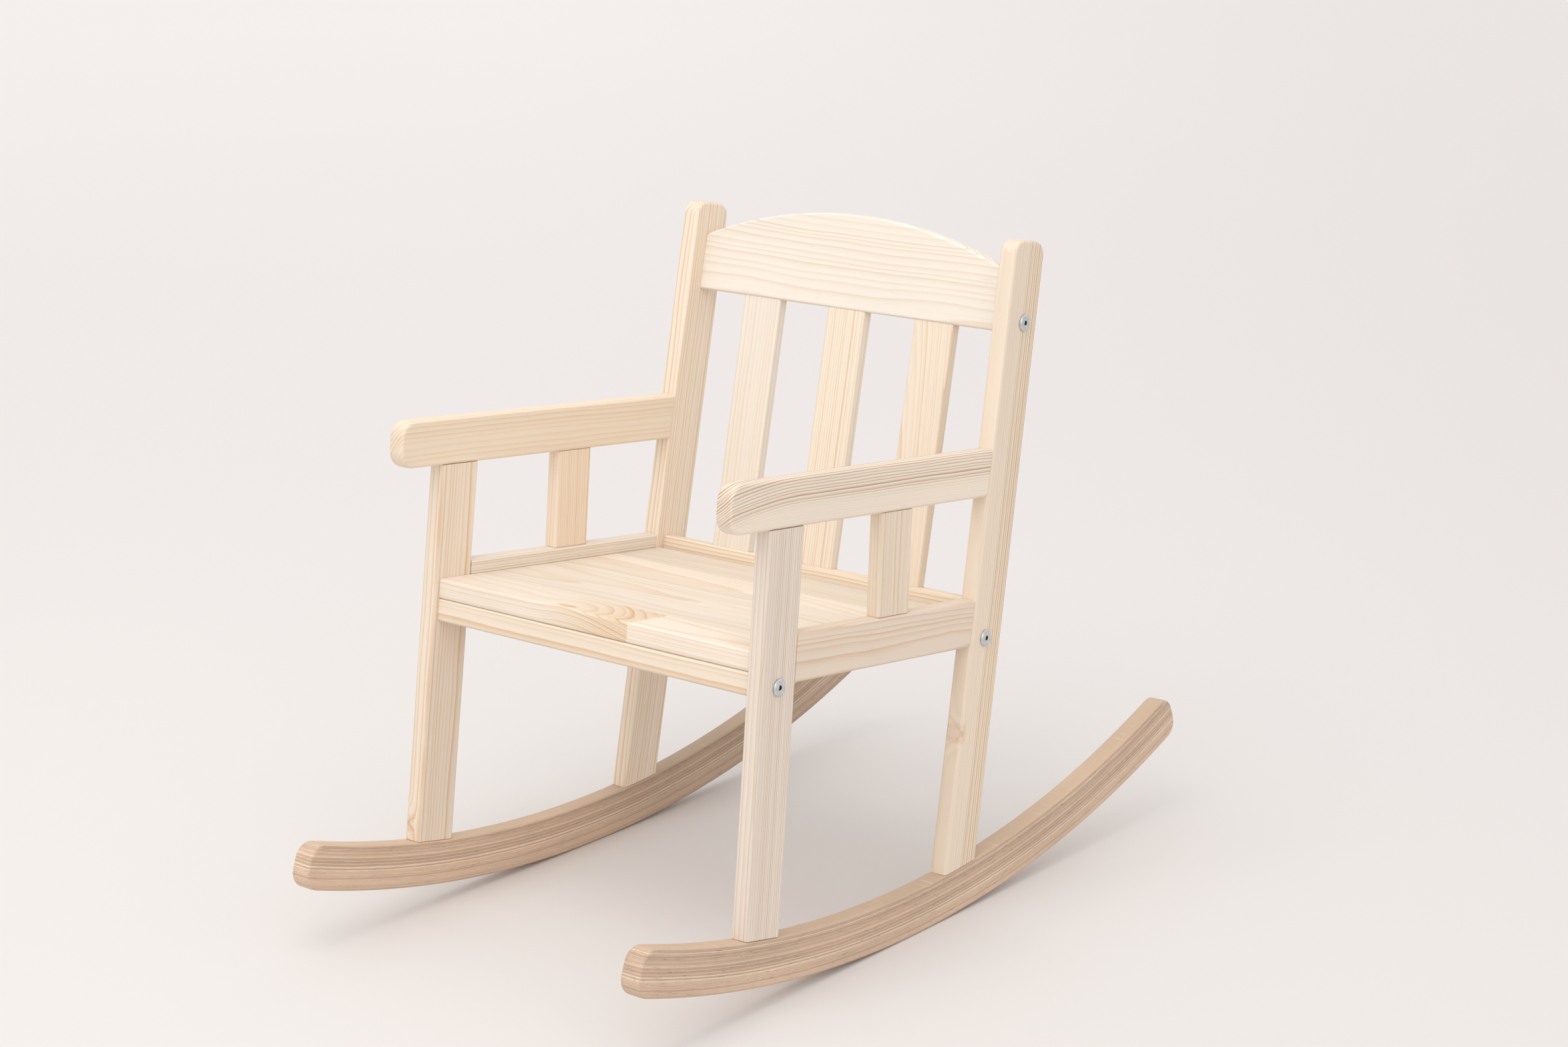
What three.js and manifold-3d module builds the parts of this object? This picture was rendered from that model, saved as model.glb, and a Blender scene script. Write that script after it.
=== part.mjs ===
// Child's rocking chair in pine, on two bent laminated-wood rockers.
// Millimetres, +Z up, floor at Z = 0. The sitter faces -Y and their left hand is at +X.
//
// It is knock-down furniture. Two glued side frames (front leg, back post, side rail, baluster and
// armrest on a rocker) are joined by a front rail, a back rail and a crest rail. Each of those ends
// is held by a connector bolt in a barrel nut. Dowels locate every glued or bolted joint.
//
// Every piece is first placed in the chair frame: Y = 0 at the front of the legs, Z = 0 at the top
// of the side rails. The whole chair then leans back to the angle at which it stands at rest.
import * as THREE from "three";
import { mergeVertices } from "three/addons/utils/BufferGeometryUtils.js";
import Module from "manifold-3d";

const wasm = await Module();
wasm.setup();

// ---- Driving dimensions ------------------------------------------------------------------------

const DEG = Math.PI / 180;
const GAP = 0.3; // glue or contact line kept between touching pieces
const EASE = 3; // round-over on the long edges
const LARGE = 900; // longer than any piece, for the blocks that trim ends

const REST_LEAN = 6.6 * DEG; // the angle the chair leans back to on its rockers
const TOE_IN = 0.86 * DEG; // each side frame leans in towards its top
const INNER = 180; // X of the inner face of both side frames, at Z = 0

const post = { thick: 17.4, depth: 45.5, front: 298.7, rake: 4.7 * DEG, top: 322.3, corner: 13 };
const leg = { thick: 17, depth: 45, rake: 0.6 * DEG };
const sideRail = { thick: 16, height: 42.5 };
const arm = { thick: 16.5, height: 42, top: 131.6, slope: 0.57 * DEG, nose: -52, corner: 15 };
const baluster = { thick: 14, inset: 1.5, depth: 44.8, front: 155.9, lean: 1.9 * DEG };
const rocker = { outer: 202.3, thick: 20.3, height: 41.2, innerRadius: 1107, tip: 15, facet: 1.45 * DEG };
const rockerArc = { y: 110.9, z: 845.2, front: -12.7 * DEG, rear: 28.3 * DEG };

const seat = { front: 5, rear: 306.6, top: -13.2, thick: 18, edge: 2.5 };
const frontRail = { front: 5, depth: 34, height: 20.6 };
const backRail = { inset: 11.4, thick: 17, top: -0.9, height: 45 };
const crest = { inset: 17.4, thick: 15.2, bottom: 239, endTop: 292.3, middleTop: 326.8, edge: 2.5 };
const slat = { inset: 13.7, thick: 11.6, width: 43.3, pitch: 100.2, lean: 5.9 * DEG, tenon: 9, edge: 2 };

const bolt = { head: 15, headHeight: 2.2, bevel: 0.9, socket: 4, socketDepth: 2.6, shank: 6, length: 60 };
const nut = { diameter: 10, length: 13, reach: 36, mouth: 7 };
const dowel = { diameter: 8, length: 24, slim: 6, footLength: 30, footSpacing: 22, chamfer: 0.8 };

// Heights of the bolts and of the dowels beside them, measured along the post or the leg.
const crestBolt = { y: 25, z: 249.4, dowelZ: 275 };
const backBolt = { y: 19.9, z: -34, dowelZ: -15 };
const frontBolt = { y: 22, z: -42.6, dowelY: 33 };

// ---- Materials ---------------------------------------------------------------------------------

const pine = { color: 0xf0dfc4, roughness: 0.6, metalness: 0 };
const bentPly = { color: 0xb8977a, roughness: 0.6, metalness: 0 };
const beech = { color: 0xd9b98c, roughness: 0.7, metalness: 0 };
const zinc = { color: 0xb9bec2, roughness: 0.3, metalness: 1 };

// ---- Geometry helpers --------------------------------------------------------------------------

function toSolid(geometry) {
  const bare = new THREE.BufferGeometry();
  bare.setAttribute("position", geometry.getAttribute("position"));
  bare.setIndex(geometry.index);
  const merged = mergeVertices(bare, 1e-4);
  return new wasm.Manifold(
    new wasm.Mesh({
      numProp: 3,
      vertProperties: new Float32Array(merged.attributes.position.array),
      triVerts: new Uint32Array(merged.index.array),
    }),
  );
}

function toGeometry(solid) {
  const mesh = solid.getMesh();
  const geometry = new THREE.BufferGeometry();
  geometry.setAttribute("position", new THREE.BufferAttribute(mesh.vertProperties, 3));
  geometry.setIndex(new THREE.BufferAttribute(mesh.triVerts, 1));
  geometry.computeVertexNormals();
  return geometry;
}

// A closed outline whose corners are [a, b, radius]; a missing radius leaves the corner sharp.
function outline(corners, segments = 3) {
  const points = [];
  corners.forEach(([a, b, radius = 0], i) => {
    const corner = new THREE.Vector2(a, b);
    if (radius === 0) {
      points.push(corner);
      return;
    }
    const before = corners[(i + corners.length - 1) % corners.length];
    const after = corners[(i + 1) % corners.length];
    const toBefore = new THREE.Vector2(before[0] - a, before[1] - b).normalize();
    const toAfter = new THREE.Vector2(after[0] - a, after[1] - b).normalize();
    const half = toBefore.angleTo(toAfter) / 2;
    const inward = toBefore.clone().add(toAfter).normalize();
    const centre = corner.clone().addScaledVector(inward, radius / Math.sin(half));
    const first = corner.clone().addScaledVector(toBefore, radius / Math.tan(half)).sub(centre);
    const last = corner.clone().addScaledVector(toAfter, radius / Math.tan(half)).sub(centre);
    const turn = Math.atan2(first.cross(last), first.dot(last));
    for (let k = 0; k <= segments; k += 1) {
      points.push(first.clone().rotateAround(new THREE.Vector2(), (turn * k) / segments).add(centre));
    }
  });
  return new THREE.Shape(points);
}

function rectangle(a0, b0, a1, b1, radius = 0) {
  return [[a0, b0, radius], [a1, b0, radius], [a1, b1, radius], [a0, b1, radius]];
}

// An outline extruded to `depth`, centred on its own plane, with its face edges rounded by `ease`.
function extrude(corners, depth, ease = 0) {
  const geometry = new THREE.ExtrudeGeometry(outline(corners), {
    depth: depth - 2 * ease,
    bevelEnabled: ease > 0,
    bevelThickness: ease,
    bevelSize: ease,
    bevelOffset: -ease,
    bevelSegments: 2,
  });
  geometry.translate(0, 0, ease - depth / 2);
  return geometry;
}

// The outline is drawn in (y, z) and extruded along X.
const extrudeX = (corners, depth, ease) =>
  extrude(corners, depth, ease).rotateX(Math.PI / 2).rotateZ(Math.PI / 2);
// The outline is drawn in (x, z) and extruded along Y.
const extrudeY = (corners, depth, ease) => extrude(corners, depth, ease).rotateX(Math.PI / 2);

function arc(centreY, centreZ, radius, angles) {
  return angles.map((a) => [centreY + radius * Math.sin(a), centreZ - radius * Math.cos(a)]);
}

// ---- Scene graph -------------------------------------------------------------------------------

const chair = new THREE.Group();
chair.rotation.x = -REST_LEAN;
const pieces = []; // { mesh, solid, hole }: `hole` is what the piece cuts out of its neighbours

function frame(parent, x, y, z, tiltX = 0, turnY = 0) {
  const group = new THREE.Group();
  group.position.set(x, y, z);
  group.rotation.set(tiltX, turnY, 0);
  parent.add(group);
  return group;
}

function add(name, parent, finish, geometry, hole = null) {
  const mesh = new THREE.Mesh(geometry, new THREE.MeshStandardMaterial(finish));
  mesh.name = name;
  parent.add(mesh);
  const piece = { mesh, solid: toSolid(geometry), hole: hole && toSolid(hole) };
  pieces.push(piece);
  return piece;
}

// Takes `tool`, which is placed in `owner`, out of a piece.
function cut(piece, tool, owner) {
  chair.updateMatrixWorld(true);
  const matrix = piece.mesh.matrixWorld.clone().invert().multiply(owner.matrixWorld);
  piece.solid = piece.solid.subtract(tool.transform(matrix.elements));
}

// A large block on one side of a plane of its owner: axis "x", "y" or "z", from `at` towards `sign`.
function blockBeyond(axis, at, sign) {
  const geometry = new THREE.BoxGeometry(LARGE, LARGE, LARGE);
  const centre = new THREE.Vector3();
  centre[axis] = at + (sign * LARGE) / 2;
  geometry.translate(centre.x, centre.y, centre.z);
  return toSolid(geometry);
}

// ---- Hardware ----------------------------------------------------------------------------------

const TURN = { x: [0, 0, -Math.PI / 2], y: [0, 0, 0], z: [Math.PI / 2, 0, 0] };

// A pin with chamfered ends, centred on its frame, and the hole that it is glued into.
function addDowel(name, parent, axis, [x, y, z], diameter = dowel.diameter, length = dowel.length) {
  const r = diameter / 2;
  const h = length / 2;
  const c = dowel.chamfer;
  const profile = [[0, -h], [r - c, -h], [r, c - h], [r, h - c], [r - c, h], [0, h]];
  const pin = new THREE.LatheGeometry(profile.map(([a, b]) => new THREE.Vector2(a, b)), 16);
  const hole = new THREE.CylinderGeometry(r + GAP, r + GAP, length + 2 * GAP, 16);
  const holder = frame(parent, x, y, z);
  holder.rotation.set(...TURN[axis]);
  add(name, holder, beech, pin, hole);
}

// A flat-headed connector bolt. Its shank runs along +Y of its frame and the head's underside
// stands one gap off the wood, at Y = 0.
function addBolt(name, parent, [x, y, z], side) {
  const { head, headHeight, bevel, shank, length } = bolt;
  const profile = [
    [0, -headHeight - GAP],
    [head / 2 - bevel, -headHeight - GAP],
    [head / 2, bevel - headHeight - GAP],
    [head / 2, -GAP],
    [shank / 2, -GAP],
    [shank / 2, length - 1],
    [shank / 2 - 1, length],
    [0, length],
  ];
  const body = new THREE.LatheGeometry(profile.map(([a, b]) => new THREE.Vector2(a, b)), 24);
  const hole = new THREE.CylinderGeometry(shank / 2 + GAP, shank / 2 + GAP, length + 2, 18);
  hole.translate(0, length / 2, 0);
  const holder = frame(parent, x, y, z);
  holder.rotation.z = (side * Math.PI) / 2;
  const piece = add(name, holder, zinc, body, hole);
  const socketRadius = bolt.socket / Math.sqrt(3);
  const socket = new THREE.CylinderGeometry(socketRadius, socketRadius, 2 * bolt.socketDepth, 6);
  socket.translate(0, -headHeight - GAP, 0);
  cut(piece, toSolid(socket), holder);
}

// A barrel nut along +Y of its holder, and the pocket it is dropped into, open at the +Y end.
function addBarrelNut(name, parent, [x, y, z], turnX = 0) {
  const r = nut.diameter / 2;
  const body = new THREE.CylinderGeometry(r, r, nut.length, 24);
  const pocket = new THREE.CylinderGeometry(r + GAP, r + GAP, nut.length + nut.mouth + GAP, 24);
  pocket.translate(0, (nut.mouth - GAP) / 2, 0);
  add(name, frame(parent, x, y, z, turnX), zinc, body, pocket);
}

// ---- Side frames -------------------------------------------------------------------------------

// The arc's own angles: one facet lies flat on the floor when the chair is at rest.
function rockerAngles() {
  const angles = [rockerArc.front];
  const least = rockerArc.front + 0.9 * rocker.facet;
  const most = rockerArc.rear - 0.9 * rocker.facet;
  for (let k = -30; k < 30; k += 1) {
    const angle = REST_LEAN + (k + 0.5) * rocker.facet;
    if (angle > least && angle < most) angles.push(angle);
  }
  angles.push(rockerArc.rear);
  return angles;
}

// The curved bar between two radii, with its four corners rounded by `tip`.
function rockerOutline(innerRadius, outerRadius, tip = 0) {
  const angles = rockerAngles();
  const top = arc(rockerArc.y, rockerArc.z, innerRadius, angles);
  const bottom = arc(rockerArc.y, rockerArc.z, outerRadius, angles).reverse();
  for (const side of [top, bottom]) {
    side[0].push(tip);
    side[side.length - 1].push(tip);
  }
  return [...top, ...bottom];
}

function rockerTopAt(y) {
  return rockerArc.z - Math.sqrt(rocker.innerRadius ** 2 - (y - rockerArc.y) ** 2);
}

const sides = [
  { name: "left", sign: 1 },
  { name: "right", sign: -1 },
];

for (const side of sides) {
  const { name, sign } = side;
  const middle = (thick, inset = 0) => sign * (inset + thick / 2);
  side.frame = frame(chair, sign * INNER, 0, 0, 0, -sign * TOE_IN);
  side.post = frame(side.frame, middle(post.thick), post.front, 0, -post.rake);
  side.leg = frame(side.frame, middle(leg.thick), 0, 0, -leg.rake);
  side.arm = frame(side.frame, middle(arm.thick), 0, arm.top, arm.slope);
  side.rail = frame(side.frame, middle(sideRail.thick), 0, 0);
  side.baluster = frame(side.frame, middle(baluster.thick, baluster.inset), baluster.front, 0,
    baluster.lean);
  side.rocker = frame(chair, sign * (rocker.outer - rocker.thick / 2), 0, 0);

  // What a piece keeps clear of, where it ends against a neighbour.
  const overArmUnderside = blockBeyond("z", -arm.height - GAP, 1);
  const behindPostFront = blockBeyond("y", -GAP, 1);
  const underRockerTop = toSolid(
    extrudeX(rockerOutline(rocker.innerRadius - GAP, rocker.innerRadius + 4 * rocker.height), LARGE),
  );

  const outerRadius = rocker.innerRadius + rocker.height;
  const rockerBar = rockerOutline(rocker.innerRadius, outerRadius, rocker.tip);
  add(`${name}_rocker`, side.rocker, bentPly, extrudeX(rockerBar, rocker.thick, EASE));

  const footZ = rockerTopAt(leg.depth) - rocker.height;
  const legBar = rectangle(0, footZ, leg.depth, arm.top);
  const frontLeg = add(`${name}_front_leg`, side.leg, pine, extrudeX(legBar, leg.thick, EASE));
  cut(frontLeg, underRockerTop, side.rocker);
  cut(frontLeg, overArmUnderside, side.arm);

  const { corner, depth } = post;
  const postBar = [[0, footZ], [depth, footZ], [depth, post.top, corner], [0, post.top, corner]];
  const backPost = add(`${name}_back_post`, side.post, pine, extrudeX(postBar, post.thick, EASE));
  cut(backPost, underRockerTop, side.rocker);

  const railBar = rectangle(0, -sideRail.height, post.front + post.depth, 0);
  const rail = add(`${name}_side_rail`, side.rail, pine, extrudeX(railBar, sideRail.thick, EASE));
  cut(rail, blockBeyond("y", leg.depth + GAP, -1), side.leg);
  cut(rail, behindPostFront, side.post);

  const rear = post.front + post.depth;
  const armBar = [
    [arm.nose, -arm.height, arm.corner],
    [rear, -arm.height],
    [rear, 0],
    [arm.nose, 0, arm.corner],
  ];
  const armrest = add(`${name}_armrest`, side.arm, pine, extrudeX(armBar, arm.thick, EASE));
  cut(armrest, behindPostFront, side.post);

  const shortBar = rectangle(0, -sideRail.height, baluster.depth, arm.top);
  const shortPost = extrudeX(shortBar, baluster.thick, EASE);
  const armBaluster = add(`${name}_arm_baluster`, side.baluster, pine, shortPost);
  cut(armBaluster, overArmUnderside, side.arm);
  cut(armBaluster, blockBeyond("z", GAP, -1), side.rail);
}

// ---- Cross members -----------------------------------------------------------------------------

const back = frame(chair, 0, post.front, 0, -post.rake);

// Adds a piece that runs from side frame to side frame and ends a gap short of each.
function addCrossMember(name, parent, geometry) {
  const member = add(name, parent, pine, geometry);
  for (const { sign, frame: owner } of sides) cut(member, blockBeyond("x", -sign * GAP, sign), owner);
}

const overlong = 2 * (INNER + post.thick);
const seatBottom = seat.top - seat.thick;
const seatProfile = rectangle(seat.front, seatBottom, seat.rear, seat.top, seat.edge);
addCrossMember("seat_panel", chair, extrudeX(seatProfile, overlong));

const frontRailTop = seatBottom - GAP;
const frontRailProfile = rectangle(
  frontRail.front,
  frontRailTop - frontRail.height,
  frontRail.front + frontRail.depth,
  frontRailTop,
  EASE,
);
addCrossMember("front_rail", chair, extrudeX(frontRailProfile, overlong));

const backRailProfile = rectangle(
  backRail.inset,
  backRail.top - backRail.height,
  backRail.inset + backRail.thick,
  backRail.top,
  seat.edge,
);
addCrossMember("back_rail", back, extrudeX(backRailProfile, overlong));

// The crest's top edge is one arc from post to post.
function crestOutline() {
  const halfChord = INNER - crest.endTop * Math.tan(TOE_IN);
  const rise = crest.middleTop - crest.endTop;
  const radius = (halfChord ** 2 + rise ** 2) / (2 * rise);
  const halfAngle = Math.asin(halfChord / radius);
  const steps = 18;
  const angles = Array.from({ length: steps + 1 }, (_, k) => Math.PI - halfAngle * (1 - (2 * k) / steps));
  const end = overlong / 2;
  return [
    [-end, crest.bottom],
    [end, crest.bottom],
    [end, crest.endTop],
    ...arc(0, crest.middleTop - radius, radius, angles),
    [-end, crest.endTop],
  ];
}
const crestBoard = extrudeY(crestOutline(), crest.thick, crest.edge);
crestBoard.translate(0, crest.inset + crest.thick / 2, 0);
addCrossMember("crest_rail", back, crestBoard);

// Each slat stands in a mortise in the back rail and another in the crest rail.
function slatBar(clearance) {
  const half = slat.width / 2 + clearance;
  const section = rectangle(-half, -clearance, half, slat.thick + clearance, slat.edge);
  const bottom = backRail.top - slat.tenon - clearance;
  const top = crest.bottom + slat.tenon + clearance;
  const bar = extrude(section, top - bottom);
  bar.translate(0, 0, (top + bottom) / 2);
  return bar;
}
["back_slat_right", "back_slat_middle", "back_slat_left"].forEach((name, i) => {
  const place = frame(chair, (i - 1) * slat.pitch, post.front + slat.inset, 0, -slat.lean);
  add(name, place, pine, slatBar(0), slatBar(GAP));
});

// ---- Nuts, dowels and bolts ---------------------------------------------------------------------

for (const { name, sign, post: inPost, leg: inLeg } of sides) {
  const nutInPost = -sign * (post.thick / 2 + nut.reach);
  const nutInLeg = -sign * (leg.thick / 2 + nut.reach);
  addBarrelNut(`${name}_crest_barrel_nut`, inPost, [nutInPost, crestBolt.y, crestBolt.z]);
  addBarrelNut(`${name}_back_rail_barrel_nut`, inPost, [nutInPost, backBolt.y, backBolt.z]);
  addBarrelNut(`${name}_front_rail_barrel_nut`, inLeg, [nutInLeg, frontBolt.y, frontBolt.z], -Math.PI / 2);
}

for (const side of sides) {
  const { name, sign } = side;

  const feet = [
    { at: side.leg, foot: "leg_foot", y: leg.depth / 2, z: rockerTopAt(leg.depth / 2) },
    { at: side.post, foot: "post_foot", y: post.depth / 2, z: rockerTopAt(post.front) },
  ];
  for (const { at, foot, y, z } of feet) {
    for (const [end, shift] of [["front", -0.5], ["rear", 0.5]]) {
      const place = [0, y + shift * dowel.footSpacing, z];
      addDowel(`${name}_${foot}_dowel_${end}`, at, "z", place, dowel.diameter, dowel.footLength);
    }
  }

  const railMiddle = -sideRail.height / 2;
  addDowel(`${name}_side_rail_dowel_front`, side.rail, "y", [0, leg.depth, railMiddle]);
  addDowel(`${name}_side_rail_dowel_rear`, side.post, "y", [0, 0, railMiddle]);
  addDowel(`${name}_seat_dowel`, side.frame, "x", [0, post.front / 2, seat.top - seat.thick / 2]);

  addDowel(`${name}_armrest_dowel_front`, side.arm, "z", [0, leg.depth / 2, -arm.height]);
  addDowel(`${name}_armrest_dowel_rear`, side.post, "y", [0, 0, arm.top - arm.height / 2]);
  const slimDowels = [
    ["top", arm.top - arm.height],
    ["bottom", 0],
  ];
  for (const [end, z] of slimDowels) {
    const place = [0, baluster.depth / 2, z];
    addDowel(`${name}_baluster_dowel_${end}`, side.baluster, "z", place, dowel.slim);
  }

  const { post: inPost, leg: inLeg } = side;
  const postInner = (-sign * post.thick) / 2;
  const legInner = (-sign * leg.thick) / 2;
  addDowel(`${name}_crest_dowel`, inPost, "x", [postInner, crestBolt.y, crestBolt.dowelZ]);
  addDowel(`${name}_back_rail_dowel`, inPost, "x", [postInner, backBolt.y, backBolt.dowelZ]);
  addDowel(`${name}_front_rail_dowel`, inLeg, "x", [legInner, frontBolt.dowelY, frontBolt.z], dowel.slim);
}

for (const { name, sign, post: inPost, leg: inLeg } of sides) {
  const postOuter = (sign * post.thick) / 2;
  const legOuter = (sign * leg.thick) / 2;
  addBolt(`${name}_crest_bolt`, inPost, [postOuter, crestBolt.y, crestBolt.z], sign);
  addBolt(`${name}_back_rail_bolt`, inPost, [postOuter, backBolt.y, backBolt.z], sign);
  addBolt(`${name}_front_rail_bolt`, inLeg, [legOuter, frontBolt.y, frontBolt.z], sign);
}

// ---- Assembly ----------------------------------------------------------------------------------

// Every piece is drilled or mortised for the ones that were added after it.
pieces.forEach((piece, i) => {
  for (const later of pieces.slice(i + 1)) {
    if (later.hole) cut(piece, later.hole, later.mesh);
  }
});
for (const { mesh, solid } of pieces) mesh.geometry = toGeometry(solid);

// The chair stands on Z = 0, over the middle of its own footprint.
const bounds = new THREE.Box3().setFromObject(chair, true);
const centre = bounds.getCenter(new THREE.Vector3());
chair.position.set(-centre.x, -centre.y, -bounds.min.z);

const rockingChair = new THREE.Group();
rockingChair.add(chair);

export default rockingChair;
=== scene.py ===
"""Child's rocking chair in pine on bent laminated rockers: the looks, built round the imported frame.

Every wooden piece and every bolt is built here in finer mesh than its CAD node and replaces it. The
dowels and barrel nuts inside the wood stay as CAD nodes. Metres, +Z up, the sitter faces -Y.
"""

import math

import bmesh
import bpy
from mathutils import Matrix, Vector


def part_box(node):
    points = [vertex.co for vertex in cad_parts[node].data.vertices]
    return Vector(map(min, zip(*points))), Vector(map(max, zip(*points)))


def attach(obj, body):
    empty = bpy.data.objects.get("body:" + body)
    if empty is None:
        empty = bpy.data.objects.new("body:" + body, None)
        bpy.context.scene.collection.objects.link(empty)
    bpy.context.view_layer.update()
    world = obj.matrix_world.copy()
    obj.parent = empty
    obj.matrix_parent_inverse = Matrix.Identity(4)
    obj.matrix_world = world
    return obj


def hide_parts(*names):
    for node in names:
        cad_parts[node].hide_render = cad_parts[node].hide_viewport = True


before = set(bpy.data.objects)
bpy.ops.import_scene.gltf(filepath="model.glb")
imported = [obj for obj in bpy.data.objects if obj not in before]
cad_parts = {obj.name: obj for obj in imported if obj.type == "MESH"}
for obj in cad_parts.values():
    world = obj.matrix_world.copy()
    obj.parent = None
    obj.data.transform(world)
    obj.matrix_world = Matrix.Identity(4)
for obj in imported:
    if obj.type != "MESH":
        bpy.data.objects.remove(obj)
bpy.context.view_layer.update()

# ---- Driving dimensions, as in the CAD ----------------------------------------------------------

MM = 0.001
DEG = math.pi / 180
FIT = 0.1 * MM  # between pieces that touch
EASE = 3 * MM  # round-over on the long edges
ARRIS = 0.25 * MM  # what sanding takes off the edges of sawn ends
ROUND_STEPS = 6  # faces in a quarter round
CREASE = 32 * DEG  # edges sharper than this stay crisp
SETTLE = 6  # rounds in which a slanting joint is solved

REST_LEAN = 6.6 * DEG
TOE_IN = 0.86 * DEG
INNER = 180 * MM

POST = {"thick": 17.4 * MM, "depth": 45.5 * MM, "front": 298.7 * MM, "rake": 4.7 * DEG,
        "top": 322.3 * MM, "corner": 13 * MM}
LEG = {"thick": 17 * MM, "depth": 45 * MM, "rake": 0.6 * DEG}
SIDE_RAIL = {"thick": 16 * MM, "height": 42.5 * MM}
ARM = {"thick": 16.5 * MM, "height": 42 * MM, "top": 131.6 * MM, "slope": 0.57 * DEG,
       "nose": -52 * MM, "corner": 15 * MM}
BALUSTER = {"thick": 14 * MM, "inset": 1.5 * MM, "depth": 44.8 * MM, "front": 155.9 * MM,
            "lean": 1.9 * DEG}
ROCKER = {"outer": 202.3 * MM, "thick": 20.3 * MM, "height": 41.2 * MM, "inner_radius": 1107 * MM,
          "tip": 15 * MM, "y": 110.9 * MM, "z": 845.2 * MM, "front": -12.7 * DEG, "rear": 28.3 * DEG}
SEAT = {"front": 5 * MM, "rear": 306.6 * MM, "top": -13.2 * MM, "thick": 18 * MM, "edge": 2.5 * MM}
FRONT_RAIL = {"front": 5 * MM, "depth": 34 * MM, "height": 20.6 * MM}
BACK_RAIL = {"inset": 11.4 * MM, "thick": 17 * MM, "top": -0.9 * MM, "height": 45 * MM}
CREST = {"inset": 17.4 * MM, "thick": 15.2 * MM, "bottom": 239 * MM, "end_top": 292.3 * MM,
         "middle_top": 326.8 * MM, "edge": 2.5 * MM}
SLAT = {"inset": 13.7 * MM, "thick": 11.6 * MM, "width": 43.3 * MM, "pitch": 100.2 * MM,
        "lean": 5.9 * DEG, "tenon": 9 * MM, "edge": 2 * MM}
BOLT = {"head": 15 * MM, "height": 2.2 * MM, "socket": 4 * MM, "socket_depth": 2.6 * MM,
        "shank": 6 * MM, "length": 60 * MM}
POST_BOLTS = {"crest": (25 * MM, 249.4 * MM), "back_rail": (19.9 * MM, -34 * MM)}  # y, z
LEG_BOLT = (22 * MM, -42.6 * MM)  # y, z
NUT = {"diameter": 10 * MM, "pocket": 6.8 * MM}
CLEARANCE = 3 * FIT  # of a mortise or nut pocket, on each side
SIDES = {"left": 1, "right": -1}


def move(x=0.0, y=0.0, z=0.0):
    return Matrix.Translation((x, y, z))


def turn(angle, axis):
    return Matrix.Rotation(angle, 4, axis)


# ---- Frames: where each piece's own coordinates lie ---------------------------------------------

def chair_frame():
    """The chair leans back on its rockers; one dowel of the frame says how far it is shifted."""
    lean = turn(-REST_LEAN, "X")
    low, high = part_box("left_seat_dowel")
    dowel = Vector((0, POST["front"] / 2, SEAT["top"] - SEAT["thick"] / 2))
    shift = (low + high) / 2 - lean @ dowel
    return move(0, shift.y, shift.z) @ lean


CHAIR = chair_frame()


def side_frame(sign):
    return CHAIR @ move(sign * INNER) @ turn(-sign * TOE_IN, "Y")


def middle(sign, thick, inset=0.0):
    return sign * (inset + thick / 2)


def post_frame(sign):
    place = move(middle(sign, POST["thick"]), POST["front"])
    return side_frame(sign) @ place @ turn(-POST["rake"], "X")


def leg_frame(sign):
    return side_frame(sign) @ move(middle(sign, LEG["thick"])) @ turn(-LEG["rake"], "X")


def arm_frame(sign):
    place = move(middle(sign, ARM["thick"]), 0, ARM["top"])
    return side_frame(sign) @ place @ turn(ARM["slope"], "X")


def rail_frame(sign):
    return side_frame(sign) @ move(middle(sign, SIDE_RAIL["thick"]))


def baluster_frame(sign):
    place = move(middle(sign, BALUSTER["thick"], BALUSTER["inset"]), BALUSTER["front"])
    return side_frame(sign) @ place @ turn(BALUSTER["lean"], "X")


def rocker_frame(sign):
    """The origin is the centre of the rocker's arc."""
    return CHAIR @ move(sign * (ROCKER["outer"] - ROCKER["thick"] / 2), ROCKER["y"], ROCKER["z"])


BACK = CHAIR @ move(0, POST["front"]) @ turn(-POST["rake"], "X")


def rocker_top(y):
    """Height of the rockers' upper face in the chair frame."""
    return ROCKER["z"] - math.sqrt(ROCKER["inner_radius"] ** 2 - (y - ROCKER["y"]) ** 2)


def on_rocker(y, front, rake):
    """Height, in the frame of a raked leg, where its foot meets the rocker at depth y."""
    c, s = math.cos(rake), math.sin(rake)
    z = rocker_top(front + y)
    for _ in range(SETTLE):
        z = (rocker_top(front + y * c + z * s) + FIT + y * s) / c
    return z


def under_arm(y, front, rake):
    """Height, in the frame of an upright, where its top meets the armrest at depth y."""
    c, s = math.cos(rake), math.sin(rake)
    slope = math.tan(ARM["slope"])
    z = ARM["top"] - ARM["height"]
    for _ in range(SETTLE):
        z = (ARM["top"] - ARM["height"] - FIT + slope * (front + y * c + z * s) + y * s) / c
    return z


def inner_face(z):
    """Half the clear width between the side frames at height z."""
    return INNER - z * math.tan(TOE_IN) - FIT


# ---- Mesh helpers --------------------------------------------------------------------------------

def loft(name, rings):
    """A closed solid through rings of equally many points."""
    bm = bmesh.new()
    rows = [[bm.verts.new(p) for p in ring] for ring in rings]
    count = len(rows[0])
    for a, b in zip(rows, rows[1:]):
        for i in range(count):
            j = (i + 1) % count
            bm.faces.new((a[i], a[j], b[j], b[i]))
    bm.faces.new(list(reversed(rows[0])))
    bm.faces.new(rows[-1])
    bmesh.ops.recalc_face_normals(bm, faces=bm.faces)
    mesh = bpy.data.meshes.new(name)
    bm.to_mesh(mesh)
    bm.free()
    obj = bpy.data.objects.new(name, mesh)
    bpy.context.scene.collection.objects.link(obj)
    return obj


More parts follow.
